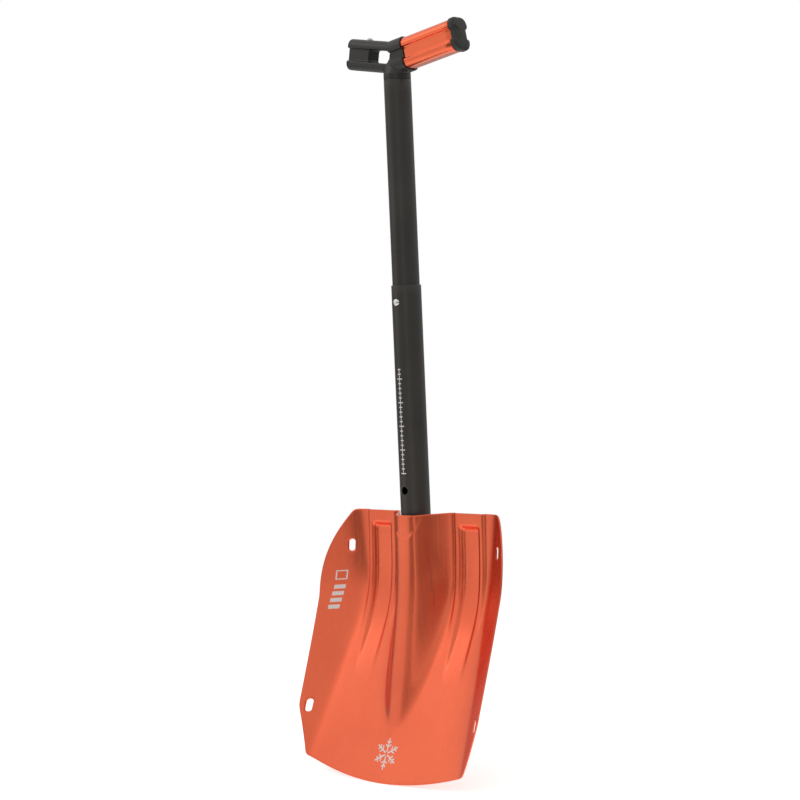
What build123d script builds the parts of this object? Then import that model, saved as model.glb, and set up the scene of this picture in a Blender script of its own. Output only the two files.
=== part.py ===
"""Camp shovel: a pressed aluminium scoop, a telescoping oval shaft and a T handle.

Millimetres. The shovel is upright, with its cutting edge down. Z runs up the shaft towards
the handle, X runs across the blade, and the hollow of the scoop faces -Y. The origin is
level with the lowest point of the edge, under the middle of the shovel's box. All depths
given below are counted from the shaft's axis, which is shaft_y behind the origin.
"""
import os
from math import cos, hypot, radians, sin, sqrt

from build123d import *

# ---- driving dimensions -------------------------------------------------------------
shaft_y = 28.0             # shaft axis, behind the origin

# blade sheet
sheet = 2.0                # sheet thickness
blade_height = 273.0       # bottom of the edge to the straight top edge
top_half = 98.0            # half the straight top edge
shoulder_half = 121.3      # half width under the rounded shoulder
shoulder_drop = 92.0       # top edge down to the end of the shoulder
shoulder_bulge = 9.0       # how far the shoulder stands out of its chord
cheek_half = 120.0         # half width above the lower corner
cheek_height = 68.0        # height of that point
corner_half = 105.5        # half width at the end of the edge
corner_height = 17.0       # height of the end of the edge over its middle
corner_round = 6.0         # radius of the lower corners
top_round = 7.0            # radius of the top corners

# blade form: depths of the front skin
panel_depth = 18.5         # flat panel behind the axis
scoop_height = 186.0       # where the panel starts to sweep forward
scoop_slope = 0.53         # forward travel per height of the lower panel
scoop_blend = 24.0
wing_waist = 86.0          # half distance between the wing folds at the waist
wing_waist_height = 176.0
wing_waist_round = 15.0    # softness of the folds' turn at the waist
wing_flare = 0.12          # how fast the folds spread away from the waist
wing_slope = 1.05          # forward travel per width of the wings
wing_blend = 9.0
rail_gap = 0.5             # spine's foot to the raised rails that flank each groove
rail_outer = 80.0
rail_rise = 3.0
rail_wall = 3.0            # width of the rails' sloped walls
groove_middle = 59.7       # two stiffening grooves
groove_half = 13.6
groove_depth = 4.6
groove_wall = 4.5          # width of the grooves' sloped walls
groove_top_gap = 13.0      # top edge down to the grooves' square ends
groove_fade_low = 96.0     # the grooves run out between these heights
groove_fade_high = 178.0
rail_fade_low = 140.0
rail_fade_high = 205.0
crest_inset = 3.95         # side of the socket in to the end of the flat crest
channel_wall = 9.5         # width of the slope beside the shaft channel
shelf_width = 3.3          # step at the foot of that slope
foot_wall = 12.0           # width of the slope from the step down to the panel
foot_flare = 1.0           # how far the ridge's foot stands outside that slope
channel_share = 0.5        # share of the spine's height that the channel's slope takes
shelf_share = 0.1          # share that the step takes
channel_blend = 3.0        # softness of the bends beside the channel
ridge_blend = 4.0          # softness of the plain ridge's bends
crest_blend = 2.0          # softness of the crest's start on the panel
ridge_power = 0.36         # how bluntly the ridge widens from its tip
tip_crest_half = 3.0       # half width of the crest at the tip
tip_crest_share = 0.35     # growth of that crest with the ridge's foot
spine_tip_height = 55.0
spine_taper = 150.0        # height over which the spine widens
channel_low_drop = 98.0    # top edge down to where the ridge starts to turn into the channel
channel_high_drop = 28.0   # top edge down to where it has turned
crest_lean = 0.19          # forward travel per height of the crest, under the shaft
crest_height = 206.0
lean_blend = 30.0

# slotted holes in the wings
slot_width = 6.0
slot_length = 13.0
upper_slot_out = 1.3       # middle of the upper slots, outside the end of the top edge
upper_slot_drop = 39.5     # top edge down to their middle
lower_slot_inset = 8.0     # middle of the lower slots, inside cheek_half
lower_slot_height = 66.8

# shaft
tube_width = 28.6          # lower tube, outside, across the blade
tube_depth = 36.0          # lower tube, outside, front to back
tube_wall = 1.2
slide_gap = 0.2            # all round, between the two tubes
foot_height = 178.0        # foot of the lower tube
step_height = 515.6        # top of the lower tube
neck_height = 731.0        # top of the upper tube
tube_overlap = 52.7        # telescope button down to the foot of the upper tube
button_drop = 17.9         # top of the lower tube down to the telescope button
hole_pitch = 199.0         # travel between the two holes
button_radius = 3.9
button_gap = 0.3           # between a button and its hole, all round
button_proud = 1.6         # stands out of the skin it locks

# blade socket
socket_gap = 0.25
socket_wall = 1.6
socket_mouth_gap = 7.0     # top edge of the blade down to the socket's mouth
spine_gap = 0.2            # between the socket and the sheet in front of it
lock_rise = 27.0           # foot of the lower tube up to the lock button
lock_proud = 1.5
button_dome = 0.62         # edge radius of a button's face, as a share of its radius
saddle_foot_rise = 12.0    # foot of the socket up to the saddle
saddle_head_drop = 8.0     # mouth of the socket down to the saddle's top
saddle_half = 27.0
saddle_back = 11.0
weld_gap = 0.12            # between the saddle and what it ties together

# springs
button_seat = 2.0          # inside of the tube's wall down to the top of the button's collar
leaf_gap = 0.1
leaf_rest = 1.6            # far wall to the resting leg, which is flat across the curved wall
strip = 0.6                # spring strip thickness
strip_width = 9.0
flange_radius = 5.2        # collar under a button
flange_thick = 1.0
spring_leg = 26.0          # height of a V spring
leaf_pad = 6.0             # straight end of each leg, above and below the button
leaf_lean = 5.0            # how far the near leg leans in
leaf_foot = 6.5            # far wall to the end of the bend
bend_height = 7.0

# plugs
plug_gap = 0.1
plug_flange = 2.0
plug_length = 16.0
plug_wall = 2.4

# handle
arm_rise = 10.0            # degrees, each arm over the horizontal
apex_rise = 23.0           # top of the upper tube up to where the arms' axes meet
arm_depth = 24.0           # lobed section, front to back
arm_height = 33.0
arm_corner = 7.8
least_corner = 1.0         # corner radius that a grown or shrunk section keeps
flute_height = 13.0        # flute along the front and the back
flute_depth = 3.4
flute_land = 0.5           # least flat between a lobe's corner and the flute
flute_round = 1.6          # inside corners of the flute
flute_lip = 1.5            # outside corners of the flute
land_share = 0.9           # share of the flat beside it that a rounded corner may take
left_arm = 59.0            # length from the apex
collar_length = 17.5       # right-hand collar, from the apex
collar_lip = 1.7           # thickness of the collar over the grip tube
grip_start = 7.0
grip_end = 81.5
grip_wall = 1.8
grip_gap = 0.1
cap_thick = 8.0
cap_lip = 1.2
cap_round = 1.35
cap_plug = 12.0
cap_wall = 2.5
window_start = 3.0         # through window of the left arm
window_wall = 3.0          # between the window and the plunger
window_height = 13.5
window_round = 2.4
skirt_straight = 6.0
skirt_taper = 15.0
skirt_top_width = 27.0
skirt_top_depth = 20.0
spigot_length = 34.0
spigot_wall = 2.6
rivet_drop = 7.0           # top of the upper tube down to the rivet
rivet_radius = 2.0
rivet_tail = 9.0           # inner end of the rivet, behind the axis
rivet_head = 3.2
rivet_head_thick = 1.1
rivet_dome = 0.6           # edge radius of the rivet's head, as a share of its thickness
fastener_gap = 0.05
end_pocket = 13.0          # pocket in the end of the left arm
end_wall = 3.0
end_plug_thick = 3.0
grip_pin_inset = 5.0       # end of the collar in to the pin
grip_pin_radius = 1.5
grip_pin_length = 11.0

# spring plunger on top of the left arm
plunger_inset = 20.4       # end of the left arm in to the plunger
plunger_radius = 4.6
plunger_bore = 3.5
plunger_depth = 17.0
plunger_floor = 1.6
ball_radius = 3.3
ball_proud = 4.2
ball_stem = 4.6
coil_wire = 0.6
coil_turns = 4

# ---- values that follow ---------------------------------------------------------------
socket_width = tube_width + 2 * (socket_gap + socket_wall)
socket_depth = tube_depth + 2 * (socket_gap + socket_wall)
socket_top = blade_height - socket_mouth_gap
saddle_foot = foot_height + saddle_foot_rise
saddle_head = socket_top - saddle_head_drop
lock_height = foot_height + lock_rise
button_height = step_height - button_drop
upper_foot_height = button_height - tube_overlap
crest_depth = -(socket_depth / 2 + spine_gap + sheet)
spine_crest_half = socket_width / 2 - crest_inset
shelf_start = spine_crest_half + channel_wall
shelf_end = shelf_start + shelf_width
foot_end = shelf_end + foot_wall
spine_half = foot_end + foot_flare
rail_inner = spine_half + rail_gap
upper_slot = (top_half + upper_slot_out, blade_height - upper_slot_drop)
lower_slot = (cheek_half - lower_slot_inset, lower_slot_height)
apex_height = neck_height + apex_rise
rivet_height = neck_height - rivet_drop
plunger_place = left_arm - plunger_inset
window_end = plunger_place - plunger_radius - window_wall
grip_pin_place = collar_length - grip_pin_inset
upper_width = tube_width - 2 * (tube_wall + slide_gap)
upper_depth = tube_depth - 2 * (tube_wall + slide_gap)
up_sin = sin(radians(arm_rise))
up_cos = cos(radians(arm_rise))


# ---- shape of the blade's skin ----------------------------------------------------------
def ramp(distance, blend):
    """Zero before the start, distance after it, with a soft bend of the given size."""
    return (distance + hypot(distance, blend)) / 2


def drop(distance, start, end, blend):
    """Zero before the start, the whole width after the end, with soft bends at both."""
    return ramp(distance - start, blend) - ramp(distance - end, blend)


def ease(part, start, end):
    """From 0 at start to 1 at end, level at both."""
    t = min(max((part - start) / (end - start), 0.0), 1.0)
    return t * t * (3 - 2 * t)


def plateau(distance, half, wall):
    """One inside half, zero outside, with a wall of the given width."""
    return 1 - ease(abs(distance), half - wall, half)


def panel(z):
    """Depth of the plain panel: upright at the top, swept forward below."""
    return panel_depth - scoop_slope * ramp(scoop_height - z, scoop_blend)


def fold(z):
    """Half distance between the two wing folds."""
    return wing_waist + wing_flare * hypot(z - wing_waist_height, wing_waist_round)


def crest(z):
    """Depth of the spine's crest."""
    return crest_depth - crest_lean * ramp(crest_height - z, lean_blend)


def spine_profile(across, z):
    """Share of the spine's height at a distance from the middle: a plain ridge low down,
    and a shaft channel on a broader step near the mouth."""
    taper = min(max((z - spine_tip_height) / spine_taper, 1e-4), 1.0)
    foot = spine_half * taper**ridge_power
    crest_half = min(spine_crest_half, tip_crest_share * foot + tip_crest_half)
    ridge_wall = max(foot - crest_half, ridge_blend / 2)
    ridge = 1 - drop(across, crest_half, foot, ridge_blend) / ridge_wall
    channel_drop = channel_share * drop(across, spine_crest_half, shelf_start, channel_blend) / channel_wall
    shelf_drop = shelf_share * drop(across, shelf_start, shelf_end, channel_blend) / shelf_width
    foot_share = 1 - channel_share - shelf_share
    foot_drop = foot_share * drop(across, shelf_end, foot_end, channel_blend) / foot_wall
    stepped = 1 - channel_drop - shelf_drop - foot_drop
    mix = ease(z, blade_height - channel_low_drop, blade_height - channel_high_drop)
    return max((1 - mix) * ridge + mix * stepped, 0.0)


def front_skin(x, z):
    """Depth of the blade's front skin."""
    across = abs(x)
    depth = panel(z)
    rail_middle = (rail_inner + rail_outer) / 2
    rail_half = (rail_outer - rail_inner) / 2
    rail = plateau(across - rail_middle, rail_half, rail_wall)
    depth -= rail_rise * rail * ease(z, rail_fade_low, rail_fade_high)
    groove_end = blade_height - groove_top_gap
    run = (1 - ease(z, groove_end - groove_wall, groove_end)) * ease(z, groove_fade_low, groove_fade_high)
    depth += groove_depth * plateau(across - groove_middle, groove_half, groove_wall) * run
    height = ramp(panel(z) - crest(z), crest_blend)
    depth -= height * spine_profile(across, z)
    depth -= wing_slope * ramp(across - fold(z), wing_blend)
    return depth


def back_skin(x, z, thick=sheet):
    """Depth of the back skin: one sheet behind the front skin, measured square to it."""
    step = 0.5
    across = (front_skin(x + step, z) - front_skin(x - step, z)) / (2 * step)
    along = (front_skin(x, z + step) - front_skin(x, z - step)) / (2 * step)
    return front_skin(x, z) + thick * sqrt(1 + across**2 + along**2)


def skin_face(depth_of, columns=110, rows=60, reach=6.0):
    """A smooth face through the given depths, reaching past the blade's outline."""
    half = max(shoulder_half, cheek_half) + reach
    widths = [-half + 2 * half * i / columns for i in range(columns + 1)]
    heights = [-reach + (blade_height + 2 * reach) * j / rows for j in range(rows + 1)]
    grid = [[(x, shaft_y + depth_of(x, z), z) for x in widths] for z in heights]
    return Face.make_surface_from_array_of_points(grid, tol=0.05, min_deg=3, max_deg=3)


# ---- planes ----------------------------------------------------------------------------
def level(height):
    """Horizontal plane on the shaft's axis."""
    return Plane((0, shaft_y, height))


def facing(depth=0.0, height=0.0):
    """Upright plane whose local y is up and whose normal points to the front."""
    return Plane((0, shaft_y + depth, height), x_dir=(1, 0, 0), z_dir=(0, -1, 0))


def across_arm(side, distance):
    """Plane square to an arm, at a distance from the apex. Its local y is the arm's up."""
    outward = (side * up_cos, 0, up_sin)
    origin = (side * up_cos * distance, shaft_y, apex_height + up_sin * distance)
    return Plane(origin, x_dir=(0, side, 0), z_dir=outward)


def along_arm(side, distance, lift=0.0):
    """Plane whose normal is the arm's up, at a distance from the apex, lifted off the axis."""
    up = (-side * up_sin, 0, up_cos)
    x = side * up_cos * distance + up[0] * lift
    z = apex_height + up_sin * distance + up[2] * lift
    return Plane((x, shaft_y, z), x_dir=(side * up_cos, 0, up_sin), z_dir=up)


def arm_front(side, distance):
    """Upright plane on an arm's axis whose normal points to the front and local x along the arm."""
    origin = (side * up_cos * distance, shaft_y, apex_height + up_sin * distance)
    return Plane(origin, x_dir=(up_cos, 0, side * up_sin), z_dir=(0, -1, 0))


def section_corner(grow):
    """Corner radius of the arms' section, grown all round."""
    return max(arm_corner + grow, least_corner)


def section_flute(grow):
    """Half height of the section's flutes, which leave a flat below each corner."""
    return min(flute_height / 2 - grow, arm_height / 2 + grow - section_corner(grow) - flute_land)


def section_lip(grow):
    """Radius of the flutes' outside corners."""
    land = arm_height / 2 + grow - section_corner(grow) - section_flute(grow)
    return min(flute_lip, land_share * land)


def lobed_section(plane, grow=0.0):
    """Section of the arms, grown all round: a tall rounded bar, fluted front and back."""
    half_depth = arm_depth / 2 + grow
    half_flute = section_flute(grow)
    nearly = 0.1
    with BuildSketch(plane) as section:
        RectangleRounded(2 * half_depth, arm_height + 2 * grow, section_corner(grow))
        with Locations((half_depth, 0), (-half_depth, 0)):
            Rectangle(2 * flute_depth, 2 * half_flute, mode=Mode.SUBTRACT)
        corners = section.vertices().filter_by(lambda v: abs(abs(v.Y) - half_flute) < nearly)
        lips = corners.filter_by(lambda v: abs(v.X) > half_depth - nearly)
        fillet(lips, section_lip(grow))
        fillet(corners.filter_by(lambda v: abs(v.X) < half_depth - nearly), flute_round)
    return section.sketch


def save(part, name):
    """Label a finished piece and write it."""
    part.part.label = name
    export_step(part.part, f"parts/{name}.step")


os.makedirs("parts", exist_ok=True)
front_face = skin_face(front_skin)
back_face = skin_face(back_skin)
saddle_face = skin_face(lambda x, z: back_skin(x, z, sheet + weld_gap))

# ---- blade -------------------------------------------------------------------------------
with BuildPart() as blade:
    with BuildSketch(facing()) as outline:
        with BuildLine() as edge:
            top = Line((0, blade_height), (top_half, blade_height))
            shoulder = SagittaArc(
                top @ 1, (shoulder_half, blade_height - shoulder_drop), shoulder_bulge
            )
            side = Line(shoulder @ 1, (cheek_half, cheek_height))
            cheek = Line(side @ 1, (corner_half, corner_height))
            rise = corner_height
            edge_radius = (corner_half**2 + rise**2) / (2 * rise)
            RadiusArc(cheek @ 1, (0, 0), edge_radius)
            mirror(about=Plane.YZ)
        make_face()
        low_corners = outline.vertices().group_by(Axis.Y)[1]
        fillet(low_corners, corner_round)
        high_corners = outline.vertices().group_by(Axis.Y)[-1]
        fillet(high_corners.filter_by(lambda v: abs(v.X) > top_half / 2), top_round)
        for middle in (upper_slot, lower_slot):
            with Locations(middle, (-middle[0], middle[1])):
                SlotOverall(slot_length, slot_width, rotation=90, mode=Mode.SUBTRACT)
    extrude(amount=blade_height, both=True)
    split(bisect_by=front_face, keep=Keep.TOP)
    split(bisect_by=back_face, keep=Keep.BOTTOM)
save(blade, "blade")

# ---- socket behind the spine ------------------------------------------------------------
with BuildPart() as blade_socket:
    with BuildSketch(level(foot_height)):
        Ellipse(socket_width / 2, socket_depth / 2)
    extrude(amount=socket_top - foot_height)
    with BuildSketch(level(foot_height)):
        Ellipse(tube_width / 2 + socket_gap, tube_depth / 2 + socket_gap)
    extrude(amount=socket_top - foot_height, mode=Mode.SUBTRACT)
    with BuildSketch(facing(0, lock_height)):
        Circle(button_radius + button_gap)
    extrude(amount=-socket_depth, mode=Mode.SUBTRACT)
save(blade_socket, "blade_socket")

with BuildPart() as socket_saddle:
    for side in (-1, 1):
        with BuildSketch(facing(saddle_back, (saddle_foot + saddle_head) / 2)):
            with Locations((side * saddle_half / 2, 0)):
                Rectangle(saddle_half, saddle_head - saddle_foot)
        extrude(amount=2 * saddle_back)
    split(bisect_by=saddle_face, keep=Keep.TOP)
    with BuildSketch(level(foot_height)):
        Ellipse(socket_width / 2 + weld_gap, socket_depth / 2 + weld_gap)
    extrude(amount=socket_top - foot_height, mode=Mode.SUBTRACT)
save(socket_saddle, "socket_saddle")

# ---- lower tube -----------------------------------------------------------------------------
with BuildPart() as lower_tube:
    with BuildSketch(level(foot_height)):
        Ellipse(tube_width / 2, tube_depth / 2)
        Ellipse(tube_width / 2 - tube_wall, tube_depth / 2 - tube_wall, mode=Mode.SUBTRACT)
    extrude(amount=step_height - foot_height)
    for height in (button_height, button_height - hole_pitch):
        with BuildSketch(facing(0, height)):
            Circle(button_radius + button_gap)
        extrude(amount=tube_depth, mode=Mode.SUBTRACT)
    with BuildSketch(facing(0, lock_height)):
        Circle(button_radius + button_gap)
    extrude(amount=-tube_depth, mode=Mode.SUBTRACT)
save(lower_tube, "lower_tube")

# ---- upper tube -----------------------------------------------------------------------------
with BuildPart() as upper_tube:
    with BuildSketch(level(upper_foot_height)):
        Ellipse(upper_width / 2, upper_depth / 2)
        Ellipse(upper_width / 2 - tube_wall, upper_depth / 2 - tube_wall, mode=Mode.SUBTRACT)
    extrude(amount=neck_height - upper_foot_height)
    with BuildSketch(facing(0, button_height)):
        Circle(button_radius + button_gap)
    extrude(amount=upper_depth, mode=Mode.SUBTRACT)
    with BuildSketch(facing(0, rivet_height)):
        Circle(rivet_radius + fastener_gap)
    extrude(amount=-upper_depth, mode=Mode.SUBTRACT)
save(upper_tube, "upper_tube")


# ---- foot plugs, one in each tube ---------------------------------------------------------
def foot_plug(name, height, width, depth):
    """Hollow nylon plug that closes the foot of a tube of the given outside size."""
    inner_width = width / 2 - tube_wall - plug_gap
    inner_depth = depth / 2 - tube_wall - plug_gap
    with BuildPart() as plug:
        with BuildSketch(level(height - plug_flange)):
            Ellipse(width / 2, depth / 2)
        extrude(amount=plug_flange)
        with BuildSketch(level(height)):
            Ellipse(inner_width, inner_depth)
            Ellipse(inner_width - plug_wall, inner_depth - plug_wall, mode=Mode.SUBTRACT)
        extrude(amount=plug_length)
    save(plug, name)


foot_plug("lower_foot_plug", foot_height, tube_width, tube_depth)
foot_plug("upper_foot_plug", upper_foot_height, upper_width, upper_depth)


# ---- spring buttons in the tubes -------------------------------------------------------------
def button(name, height, direction, tube_inner, skin, proud):
    """Round button with a domed face, held behind the tube's wall by its collar.

    direction is +1 for a button at the back and -1 for one at the front. skin is the depth
    of the outermost wall that it locks."""
    seat = tube_inner - button_seat
    top = skin + proud
    place = Plane((0, shaft_y, height), x_dir=(1, 0, 0), z_dir=(0, direction, 0))
    with BuildPart() as piece:
        with BuildSketch(place.offset(seat - flange_thick)):
            Circle(flange_radius)
        extrude(amount=flange_thick)
        with BuildSketch(place.offset(seat)):
            Circle(button_radius)
        extrude(amount=top - seat)
        dome = piece.faces().sort_by(Axis(place.origin, place.z_dir))[-1]
        fillet(dome.edges(), button_dome * button_radius)
    save(piece, name)


def leaf_spring(name, height, direction, seat, far_wall):
    """V of spring strip: one leg lies under the button's collar and the other on the far wall."""
    near = seat - button_seat - flange_thick - leaf_gap
    high = height + leaf_pad
    low = high - spring_leg
    bend_end = low + bend_height
    rest = leaf_rest - far_wall
    side = Plane((0, shaft_y, 0), x_dir=(0, direction, 0), z_dir=(direction, 0, 0))
    with BuildPart() as piece:
        with BuildSketch(side):
            with BuildLine():
                leg = Polyline((near, high), (near, height - leaf_pad), (near - leaf_lean, bend_end))
                bend = ThreePointArc(leg @ 1, (0, low), (leaf_foot - far_wall, bend_end))
                Polyline(bend @ 1, (rest, height - leaf_pad), (rest, high))
                offset(amount=-strip, side=Side.RIGHT)
            make_face()
        extrude(amount=strip_width / 2, both=True)
    save(piece, name)


lower_inner = tube_depth / 2 - tube_wall
upper_inner = upper_depth / 2 - tube_wall
button("lock_button", lock_height, 1, lower_inner, socket_depth / 2, lock_proud)
button("telescope_button", button_height, -1, upper_inner, tube_depth / 2, button_proud)

# ---- handle hub: skirt, spigot, left arm and collar ------------------------------------------
spigot_width = upper_width / 2 - tube_wall - plug_gap
spigot_depth = upper_depth / 2 - tube_wall - plug_gap
pocket_floor = left_arm - end_pocket
with BuildPart() as handle_hub:
    extrude(lobed_section(across_arm(-1, 0)), amount=left_arm)
    extrude(lobed_section(across_arm(1, 0), collar_lip), amount=collar_length)
    with BuildSketch(level(neck_height)):
        Ellipse(upper_width / 2, upper_depth / 2)
    extrude(amount=skirt_straight)
    with BuildSketch(level(neck_height + skirt_straight)):
        Ellipse(upper_width / 2, upper_depth / 2)
    with BuildSketch(level(neck_height + skirt_straight + skirt_taper)):
        Ellipse(skirt_top_width / 2, skirt_top_depth / 2)
    loft()
    with BuildSketch(level(neck_height - spigot_length)):
        Ellipse(spigot_width, spigot_depth)
        Ellipse(spigot_width - spigot_wall, spigot_depth - spigot_wall, mode=Mode.SUBTRACT)
    extrude(amount=spigot_length)
    with BuildSketch(facing(0, rivet_height)):
        Circle(rivet_radius + fastener_gap)
    extrude(amount=-upper_depth, mode=Mode.SUBTRACT)
    window_middle = (window_start + window_end) / 2
    with BuildSketch(arm_front(-1, window_middle)):
        RectangleRounded(window_end - window_start, window_height, window_round)
    extrude(amount=arm_depth, both=True, mode=Mode.SUBTRACT)
    bore = lobed_section(across_arm(1, grip_start), grip_gap)
    extrude(bore, amount=collar_length, mode=Mode.SUBTRACT)
    pocket = lobed_section(across_arm(-1, pocket_floor), -end_wall)
    extrude(pocket, amount=2 * end_pocket, mode=Mode.SUBTRACT)
    with BuildSketch(along_arm(-1, plunger_place, arm_height / 2 - plunger_depth)):
        Circle(plunger_radius + fastener_gap)
    extrude(amount=2 * plunger_depth, mode=Mode.SUBTRACT)
    with BuildSketch(along_arm(1, grip_pin_place, -arm_height)):
        Circle(grip_pin_radius + fastener_gap)
    extrude(amount=arm_height, mode=Mode.SUBTRACT)
save(handle_hub, "handle_hub")

with BuildPart() as hub_rivet:
    with BuildSketch(facing(rivet_tail, rivet_height)):
        Circle(rivet_radius)
    extrude(amount=-(upper_depth / 2 - rivet_tail + fastener_gap))
    with BuildSketch(facing(upper_depth / 2 + fastener_gap, rivet_height)):
        Circle(rivet_head)
    extrude(amount=-rivet_head_thick)
    fillet(hub_rivet.faces().sort_by(Axis.Y)[-1].edges(), rivet_dome * rivet_head_thick)
save(hub_rivet, "hub_rivet")

with BuildPart() as arm_end_plug:
    plate = lobed_section(across_arm(-1, left_arm - end_plug_thick), -end_wall - plug_gap)
    extrude(plate, amount=end_plug_thick)
save(arm_end_plug, "arm_end_plug")

# ---- grip on the right arm ---------------------------------------------------------------------
with BuildPart() as grip_tube:
    extrude(lobed_section(across_arm(1, grip_start)), amount=grip_end - grip_start)
    hollow = lobed_section(across_arm(1, grip_start), -grip_wall)
    extrude(hollow, amount=grip_end - grip_start, mode=Mode.SUBTRACT)
    with BuildSketch(along_arm(1, grip_pin_place, -arm_height)):
        Circle(grip_pin_radius + fastener_gap)
    extrude(amount=arm_height, mode=Mode.SUBTRACT)
save(grip_tube, "grip_tube")

with BuildPart() as grip_end_cap:
    extrude(lobed_section(across_arm(1, grip_end), cap_lip), amount=cap_thick)
    far_end = grip_end_cap.faces().sort_by(Axis((0, 0, 0), (up_cos, 0, up_sin)))[-1]
    fillet(far_end.edges(), min(cap_round, land_share * section_lip(cap_lip)))
    insert = across_arm(1, grip_end - cap_plug)
    extrude(lobed_section(insert, -grip_wall - plug_gap), amount=cap_plug)
    hollow = lobed_section(insert, -grip_wall - plug_gap - cap_wall)
    extrude(hollow, amount=cap_plug, mode=Mode.SUBTRACT)
save(grip_end_cap, "grip_end_cap")

with BuildPart() as grip_pin:
    with BuildSketch(along_arm(1, grip_pin_place, -arm_height / 2 - collar_lip)):
        Circle(grip_pin_radius)
    extrude(amount=grip_pin_length)
save(grip_pin, "grip_pin")

# ---- spring plunger on top of the left arm --------------------------------------------------------
plunger_top = arm_height / 2
with BuildPart() as plunger_body:
    with BuildSketch(along_arm(-1, plunger_place, plunger_top - plunger_depth)):
        Circle(plunger_radius)
    extrude(amount=plunger_depth)
    with BuildSketch(along_arm(-1, plunger_place, plunger_top - plunger_depth + plunger_floor)):
        Circle(plunger_bore)
    extrude(amount=plunger_depth, mode=Mode.SUBTRACT)
save(plunger_body, "plunger_body")

ball_foot = plunger_top + ball_proud - ball_radius - ball_stem
with BuildPart() as plunger_ball:
    with BuildSketch(along_arm(-1, plunger_place, ball_foot)):
        Circle(ball_radius)
    extrude(amount=ball_stem)
    with Locations(along_arm(-1, plunger_place, ball_foot + ball_stem)):
        Sphere(ball_radius, arc_size1=0)
save(plunger_ball, "plunger_ball")

coil_low = plunger_top - plunger_depth + plunger_floor + coil_wire / 2 + fastener_gap
coil_high = ball_foot - coil_wire / 2 - fastener_gap
coil_radius = plunger_bore - coil_wire / 2 - 2 * plug_gap
coil_rise = coil_high - coil_low
coil_start = along_arm(-1, plunger_place, coil_low)
with BuildPart() as plunger_spring:
    with BuildLine() as coil:
        Helix(coil_rise / coil_turns, coil_rise, coil_radius, center=coil_start.origin,
              direction=coil_start.z_dir)
    with BuildSketch(coil.line ^ 0):
        Circle(coil_wire / 2)
    sweep()
save(plunger_spring, "plunger_spring")

leaf_spring("lock_spring", lock_height, 1, lower_inner, lower_inner)
leaf_spring("telescope_spring", button_height, -1, upper_inner, upper_inner)
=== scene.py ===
"""Looks of the camp shovel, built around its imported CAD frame. Metres; the CAD's own frame.

The pressed blade, both tubes, the handle hub, the grip and its cap are finer meshes that
stand for their CAD nodes. The rest of the CAD nodes stay and get their materials.
"""
from math import atan, cos, hypot, pi, radians, sin, sqrt

import bmesh
import bpy
from mathutils import Matrix, Vector
from mathutils.geometry import delaunay_2d_cdt


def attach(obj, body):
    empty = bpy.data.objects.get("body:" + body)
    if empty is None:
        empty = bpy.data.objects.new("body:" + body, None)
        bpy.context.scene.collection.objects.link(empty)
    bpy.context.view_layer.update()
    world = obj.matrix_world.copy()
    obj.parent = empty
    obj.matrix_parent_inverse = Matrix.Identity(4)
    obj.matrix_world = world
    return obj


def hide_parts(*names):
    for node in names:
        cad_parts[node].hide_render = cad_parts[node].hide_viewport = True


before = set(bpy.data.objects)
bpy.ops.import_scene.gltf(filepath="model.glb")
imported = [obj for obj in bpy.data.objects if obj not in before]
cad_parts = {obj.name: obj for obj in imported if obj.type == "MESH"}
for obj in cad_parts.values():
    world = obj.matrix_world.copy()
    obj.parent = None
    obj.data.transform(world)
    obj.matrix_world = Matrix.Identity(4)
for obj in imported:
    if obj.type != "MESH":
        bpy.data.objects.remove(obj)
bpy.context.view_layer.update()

MM = 0.001

# ---- sizes in millimetres, as in the CAD model ----------------------------------------
SHAFT_Y = 28.0
SHEET = 2.0
BLADE_HEIGHT = 273.0
TOP_HALF, SHOULDER_HALF, SHOULDER_DROP, SHOULDER_BULGE = 98.0, 121.3, 92.0, 9.0
CHEEK_HALF, CHEEK_HEIGHT = 120.0, 68.0
CORNER_HALF, CORNER_HEIGHT = 105.5, 17.0
PANEL_DEPTH, SCOOP_HEIGHT, SCOOP_SLOPE, SCOOP_BLEND = 18.5, 186.0, 0.53, 24.0
WING_WAIST, WING_WAIST_HEIGHT, WING_FLARE = 86.0, 176.0, 0.12
WING_SLOPE, WING_BLEND = 1.05, 9.0
RAIL_INNER, RAIL_OUTER, RAIL_RISE = 38.5, 80.0, 3.0
RAIL_FADE_LOW, RAIL_FADE_HIGH = 140.0, 205.0
GROOVE_MIDDLE, GROOVE_HALF, GROOVE_DEPTH = 59.7, 13.6, 4.6
GROOVE_TOP_GAP, GROOVE_FADE_LOW, GROOVE_FADE_HIGH = 13.0, 96.0, 178.0
PRESS_WALL = 4.5
SPINE_HALF, SPINE_CREST_HALF, SPINE_SHELF_HALF = 38.0, 12.2, 25.0
SPINE_TIP_HEIGHT, SPINE_TAPER = 55.0, 150.0
CREST_DEPTH, CREST_LEAN, CREST_HEIGHT = -22.05, 0.19, 206.0
SPINE_TIP_POWER, SPINE_TIP_CREST, SPINE_TIP_SHARE = 0.36, 3, 0.35
CHANNEL_WALL, SHELF_WIDTH, FOOT_WALL = 9.5, 3.3, 12
CHANNEL_SHARE, SHELF_SHARE, FOOT_SHARE = 0.5, 0.1, 0.4
CHANNEL_LOW, CHANNEL_HIGH = 175, 245
MOUTH_HALF, MOUTH_DROP, MOUTH_STEP = 17.0, 25.0, 0.9
SLOT_WIDTH, SLOT_LENGTH = 6.0, 13.0
SLOTS = ((99.3, 233.5), (112.0, 66.8))
TUBE_WALL = 1.2
LOWER_TUBE = (28.6, 36.0, 178.0, 515.6)
UPPER_TUBE = (25.8, 33.2, 445.0, 731.0)
BUTTON_HEIGHT, HOLE_PITCH, LOCK_HEIGHT = 497.7, 199.0, 205.0
HOLE_RADIUS = 4.2
APEX_HEIGHT, ARM_RISE = 754.0, radians(10.0)
ARM_DEPTH, ARM_HEIGHT, ARM_CORNER = 24.0, 33.0, 7.8
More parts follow.
